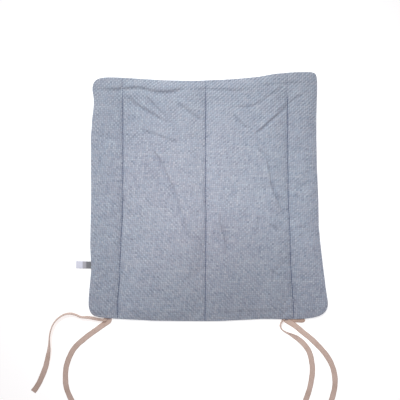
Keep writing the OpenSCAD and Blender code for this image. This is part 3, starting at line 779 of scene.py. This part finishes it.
def cover_material():
    k = Nodes("heathered_plain_weave")
    uv = k.uv()
    x, y, _ = k.xyz(uv)
    # hand-loomed wander of the yarns
    wob = k.noise(uv, 38.0, 2.0, 0.5)
    wob2 = k.noise(k.vec(y, x, 0.3), 41.0, 2.0, 0.5)
    gx = k.math("ADD", k.math("DIVIDE", x, PITCH_X), k.math("MULTIPLY", k.math("SUBTRACT", wob, 0.5), 0.7))
    gy = k.math("ADD", k.math("DIVIDE", y, PITCH_Y), k.math("MULTIPLY", k.math("SUBTRACT", wob2, 0.5), 1.1))
    sx = k.math("SINE", k.math("MULTIPLY", gx, math.pi))
    sy = k.math("SINE", k.math("MULTIPLY", gy, math.pi))
    # above 0 the warp is on top; the floats line up one way on the right and front, the other way at the back left
    ca = k.math("COSINE", k.math("MULTIPLY", k.math("SUBTRACT", gx, gy), math.pi))
    cb = k.math("COSINE", k.math("MULTIPLY", k.math("ADD", gx, gy), math.pi))
    side = k.math("ADD", k.math("MULTIPLY", x, 2.0), k.math("MULTIPLY", y, 2.4))
    side = k.math("ADD", side, k.math("MULTIPLY", k.math("SUBTRACT", k.noise(uv, 9.0, 1.0, 0.5), 0.5), 0.9))
    side = k.math("ADD", side, 0.5, clamp=True)
    over = k.math("SUBTRACT", k.math("MULTIPLY", ca, side), k.math("MULTIPLY", cb, k.math("SUBTRACT", 1.0, side)))
    cx = k.math("ABSOLUTE", sx)
    cy = k.math("ABSOLUTE", sy)
    pillow = k.math("MULTIPLY", k.math("POWER", cx, 0.6), k.math("POWER", cy, 0.35))
    ix = k.math("FLOOR", gx)
    iy = k.math("FLOOR", gy)
    cell = k.white(k.vec(ix, iy))
    # slubs: streaks along each yarn
    warp = k.noise(k.vec(k.math("MULTIPLY", ix, 3.7), k.math("MULTIPLY", gy, 0.13), 0.0), 1.0, 2.0, 0.6)
    weft = k.noise(k.vec(k.math("MULTIPLY", gx, 0.13), k.math("MULTIPLY", iy, 3.7), 5.0), 1.0, 2.0, 0.6)
    pick = k.math("MULTIPLY_ADD", over, 1.1, 0.5, clamp=True)
    yarn = k.mix(pick, weft, warp)
    third = k.math("COSINE", k.math("MULTIPLY", ix, 2.0944))  # every third warp yarn is a lighter one
    fleck = k.noise(uv, 430.0, 2.0, 0.65)
    # the floats show most near the front edge, where the cloth rolls over
    front = k.math("MULTIPLY", k.math("SUBTRACT", y, 0.06), 8.0, clamp=True)
    tone = k.math("ADD", k.math("MULTIPLY", yarn, 0.46), k.math("MULTIPLY", cell, k.math("MULTIPLY_ADD", front, -0.09, 0.20)))
    tone = k.math("ADD", tone, k.math("MULTIPLY", k.math("SUBTRACT", fleck, 0.5), 0.42))
    tone = k.math("ADD", tone, k.math("MULTIPLY", pick, k.math("MULTIPLY_ADD", front, 0.13, 0.17)))
    tone = k.math("ADD", tone, k.math("MULTIPLY_ADD", third, 0.014, 0.08))
    base = k.ramp(tone, [(0.20, TONES[0]), (0.42, TONES[1]), (0.56, TONES[2]), (0.78, TONES[3])])
    # warp a touch bluer, weft a touch greyer
    base = k.mix(k.math("MULTIPLY", pick, 0.30), base, k.mix(1.0, base, lin("#D2DAF2"), "MULTIPLY"))
    # single yarn crossings lean to pink or green
    hue = k.white(k.vec(k.math("ADD", ix, 71.0), k.math("ADD", iy, 33.0)))
    base = k.mix(1.0, base, k.mix(hue, (0.972, 1.006, 1.014), (1.028, 0.994, 0.986)), "MULTIPLY")
    # broad, faint drift between cool grey and violet grey
    drift = k.noise(uv, 7.0, 2.0, 0.5)
    base = k.mix(k.math("MULTIPLY", k.math("SUBTRACT", drift, 0.35), 0.55, clamp=True), base, k.mix(1.0, base, lin("#F2E6EE"), "MULTIPLY"))
    pale = k.math("GREATER_THAN", k.white(k.vec(iy, 9.0)), 0.92)
    part = k.math("MULTIPLY", k.math("SUBTRACT", k.noise(k.vec(k.math("MULTIPLY", gx, 0.05), k.math("MULTIPLY", iy, 5.3), 2.0), 1.0, 1.0, 0.5), 0.50), 6.0, clamp=True)
    base = k.mix(k.math("MULTIPLY", k.math("MULTIPLY", pale, part), 0.17), base, tuple(a * g for a, g in zip(lin("#C9CEDA"), GAIN)))

    # painted light: an elliptical mask, used below to paint a pool of light and a patch of shadow into the cloth's
    # colour
    def painted_light_patch(cx0, cy0, rx, ry):
        ex = k.math("POWER", k.math("DIVIDE", k.math("SUBTRACT", x, cx0), rx), 2.0)
        ey = k.math("POWER", k.math("DIVIDE", k.math("SUBTRACT", y, cy0), ry), 2.0)
        return k.math("SUBTRACT", 1.0, k.math("ADD", ex, ey), clamp=True)

    # painted light: a warm, lighter pool of light on the cover's centre-left, painted into its colour
    base = k.mix(1.0, base, k.mix(painted_light_patch(-0.03, 0.0, 0.16, 0.18), (1.0, 1.0, 1.0), (1.085, 1.04, 1.03)), "MULTIPLY")
    # painted shadow: a soft darker patch toward the back edge, right of centre, standing in for a shadow cast across
    # the pad
    base = k.mix(1.0, base, k.mix(painted_light_patch(0.05, -0.18, 0.16, 0.17), (1.0, 1.0, 1.0), (0.83, 0.815, 0.815)), "MULTIPLY")
    # painted shade: the cloth is darkened in the hollows between yarns, where shade falls
    deep = k.math("ADD", k.math("MULTIPLY", k.math("SUBTRACT", 1.0, k.math("POWER", cx, 0.4)), 0.62), k.math("MULTIPLY", k.math("SUBTRACT", 1.0, k.math("POWER", cy, 0.4)), 0.30))
    base = k.mix(k.math("MULTIPLY", deep, 0.75, clamp=True), base, k.mix(1.0, base, lin("#8C92A8"), "MULTIPLY"))
    k.put(k.bsdf.inputs["Base Color"], base)
    k.bsdf.inputs["Roughness"].default_value = 0.92
    k.bsdf.inputs["Specular IOR Level"].default_value = 0.18
    k.bsdf.inputs["Sheen Weight"].default_value = 0.15
    k.bsdf.inputs["Sheen Roughness"].default_value = 0.55
    fuzz = k.noise(uv, 2600.0, 2.0, 0.6)
    h = k.math("ADD", pillow, k.math("MULTIPLY", fuzz, 0.16))
    h = k.math("ADD", h, k.math("MULTIPLY", k.math("ADD", yarn, cell), 0.22))
    k.put(k.bsdf.inputs["Normal"], k.bump(h, 0.75, 0.0007))
    return k.mat


def tape_material(name="soft_woven_tape", level=1.2, warm=(1.0, 1.0, 1.0)):
    k = Nodes(name)
    uv = k.uv()
    x, y, _ = k.xyz(uv)
    gx = k.math("MULTIPLY", x, 1 / 0.00062)
    gy = k.math("MULTIPLY", y, 1 / 0.00050)
    # herringbone-like ribs
    zig = k.math("PINGPONG", k.math("ADD", x, 0.0045), 0.00225)
    rib = k.math("SINE", k.math("MULTIPLY", k.math("ADD", k.math("DIVIDE", y, 0.0011), k.math("DIVIDE", zig, 0.0016)), 6.2832))
    yarn = k.math("MULTIPLY", k.math("SINE", k.math("MULTIPLY", gx, math.pi)), k.math("SINE", k.math("MULTIPLY", gy, math.pi)))
    inner = k.math("ABSOLUTE", k.math("SUBTRACT", k.math("MODULO", k.math("ADD", x, 0.010), 0.020), 0.010))
    selv = k.math("SMOOTH_MIN", 1.0, k.math("MULTIPLY", k.math("MAXIMUM", k.math("SUBTRACT", inner, 0.0033), 0.0), 900.0), 0.1)
    blot = k.noise(uv, 120.0, 3.0, 0.6)
    slow = k.noise(uv, 26.0, 2.0, 0.5)
    base = k.ramp(slow, [(0.3, lin("#C2AB9E")), (0.5, lin("#CDB6AB")), (0.7, lin("#D6C0B5"))])
    base = k.mix(k.math("MULTIPLY", k.math("SUBTRACT", blot, 0.42), 0.8, clamp=True), base, lin("#D9B9AE"))
    base = k.mix(k.math("MULTIPLY", selv, 0.75), base, lin("#A98D80"))
    base = k.mix(k.math("MULTIPLY_ADD", rib, 0.09, 0.09), base, lin("#AE968A"))
    # overall brightness and tint; the folded copy below lowers and browns it as painted shade
    base = k.mix(1.0, base, tuple(level * w for w in warm), "MULTIPLY")
    k.put(k.bsdf.inputs["Base Color"], base)
    k.bsdf.inputs["Roughness"].default_value = 0.85
    k.bsdf.inputs["Specular IOR Level"].default_value = 0.25
    k.bsdf.inputs["Sheen Weight"].default_value = 0.15
    h = k.math("ADD", k.math("MULTIPLY", rib, 0.5), k.math("MULTIPLY", yarn, 0.35))
    k.put(k.bsdf.inputs["Normal"], k.bump(h, 0.55, 0.00025))
    return k.mat


def thread_material():
    k = Nodes("sewing_thread")
    uv = k.uv()
    x, y, _ = k.xyz(uv)
    tw = k.math("SINE", k.math("MULTIPLY", k.math("ADD", k.math("DIVIDE", y, 0.0009), k.math("DIVIDE", x, 0.0008)), 6.2832))
    var = k.noise(uv, 300.0, 2.0, 0.5)
    # the thread's own darker blue-grey, darkened further as painted shade of the stitched grooves it lies in
    base = k.ramp(var, [(0.3, lin("#566080")), (0.7, lin("#6C7594"))])
    base = k.mix(k.math("MULTIPLY_ADD", tw, 0.2, 0.2), base, lin("#434C68"))
    k.put(k.bsdf.inputs["Base Color"], base)
    k.bsdf.inputs["Roughness"].default_value = 0.6
    k.put(k.bsdf.inputs["Normal"], k.bump(tw, 0.5, 0.00015))
    return k.mat


def wadding_material():
    k = Nodes("polyester_wadding")
    o = k.obj()
    f = k.noise(o, 900.0, 4.0, 0.65)
    g = k.noise(o, 60.0, 3.0, 0.6)
    base = k.ramp(g, [(0.3, lin("#E6E6E2")), (0.7, lin("#F6F6F3"))])
    k.put(k.bsdf.inputs["Base Color"], base)
    k.bsdf.inputs["Roughness"].default_value = 0.95
    k.bsdf.inputs["Sheen Weight"].default_value = 0.4
    k.put(k.bsdf.inputs["Normal"], k.bump(f, 0.6, 0.0008))
    return k.mat


def label_material():
    k = Nodes("satin_label_tape")
    uv = k.uv()
    x, y, _ = k.xyz(uv)
    total = label_len * MM
    out = k.math("SUBTRACT", total / 2, k.math("ABSOLUTE", k.math("SUBTRACT", y, total / 2)))  # length from either root
    soft = k.math("ADD", out, k.math("MULTIPLY", k.math("SUBTRACT", k.noise(uv, 400.0, 2.0, 0.5), 0.5), 0.0006))
    # painted shade: the label darkens in grey steps towards both roots at the seam, where the pad's overhanging edge
    # shades it; white towards the fold
    base = k.ramp(k.math("DIVIDE", soft, 0.032), [(0.0, lin("#77777B")), (0.38, lin("#818186")), (0.42, lin("#B0AEB6")), (0.57, lin("#B9B7C0")), (0.62, lin("#E3E4F4")), (1.0, lin("#E9EAF7"))])
    gx = k.math("SINE", k.math("MULTIPLY", x, math.pi / 0.00028))
    gy = k.math("SINE", k.math("MULTIPLY", y, math.pi / 0.00034))
    wv = k.math("MULTIPLY", gx, gy)
    fray = k.math("LESS_THAN", k.math("MINIMUM", x, k.math("SUBTRACT", 0.012, x)), 0.0006)
    base = k.mix(k.math("MULTIPLY", fray, 0.25), base, lin("#C4C4CE"))
    k.put(k.bsdf.inputs["Base Color"], base)
    k.bsdf.inputs["Roughness"].default_value = 0.5
    k.bsdf.inputs["Specular IOR Level"].default_value = 0.35
    k.put(k.bsdf.inputs["Normal"], k.bump(wv, 0.35, 0.00012))
    return k.mat


COVER, TAPE, THREAD, WADDING, LABEL = cover_material(), tape_material(), thread_material(), wadding_material(), label_material()
# painted shade: a darker, browner copy of the tape for the fold under the pad's edge, standing in for the shade there
FOLD_SHADED = tape_material("folded_tape_painted_shade", 0.95, (1.0, 0.93, 0.88))


def dress(ob, mat):
    ob.data.materials.clear()
    ob.data.materials.append(mat)


dress(top, COVER)
dress(bottom, COVER)
dress(wadding, WADDING)
dress(tongue, FOLD_SHADED)
dress(label, LABEL)
for ob in thread_pieces:
    dress(ob, THREAD)
for nm in tapes:
    dress(tapes[nm][0], TAPE)

# ------------------------------------------------------ bodies and hidden parts
for ob in [top, bottom, wadding, tongue, *thread_pieces]:
    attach(ob, "pad")
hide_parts("top_cover")
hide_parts("bottom_cover")
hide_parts("wadding")
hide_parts("label_loop", "label_sewn_end")
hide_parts("right_tie_sewn_end")


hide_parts("left_tie_straight_tail", "left_tie_sewn_end")
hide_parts("left_tie_curled_tail")
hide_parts("right_tie_straight_tail")
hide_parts("right_tie_curled_tail")
for nm in tapes:
    ob, path, length = tapes[nm]
    side = "left" if nm.startswith("left") else "right"
    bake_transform(ob)
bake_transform(label)

# ------------------------------------------------------------ floor, lights
fl = bpy.data.meshes.new("floor")
fl.from_pydata([(-6, -6, 0), (6, -6, 0), (6, 6, 0), (-6, 6, 0)], [], [(0, 1, 2, 3)])
floor = bpy.data.objects.new("floor", fl)
scene.collection.objects.link(floor)
kf = Nodes("floor_paper")
kf.bsdf.inputs["Base Color"].default_value = (0.86, 0.86, 0.86, 1)
kf.bsdf.inputs["Emission Color"].default_value = (1, 1, 1, 1)
kf.bsdf.inputs["Emission Strength"].default_value = 0.50
kf.bsdf.inputs["Roughness"].default_value = 0.9
kf.bsdf.inputs["Specular IOR Level"].default_value = 0.1
floor.data.materials.append(kf.mat)

AMBIENT, SPOT = 0.525, 182.0
world = bpy.data.worlds.new("world")
scene.world = world
world.use_nodes = True
world.node_tree.nodes["Background"].inputs[0].default_value = (1.0, 0.958, 0.975, 1)
world.node_tree.nodes["Background"].inputs[1].default_value = AMBIENT


d = bpy.data.lights.new("key", "SPOT")
d.energy = SPOT
d.color = (0.94, 1.0, 0.985)
d.shadow_soft_size = 0.20
d.spot_size = math.radians(20)
d.spot_blend = 1.0
key = bpy.data.objects.new("key", d)
scene.collection.objects.link(key)
key.location = (-0.50, 1.15, 2.0)
key.rotation_euler = (Vector((-0.01, 0.03, 0)) - key.location).to_track_quat("-Z", "Y").to_euler()
key.visible_camera = False
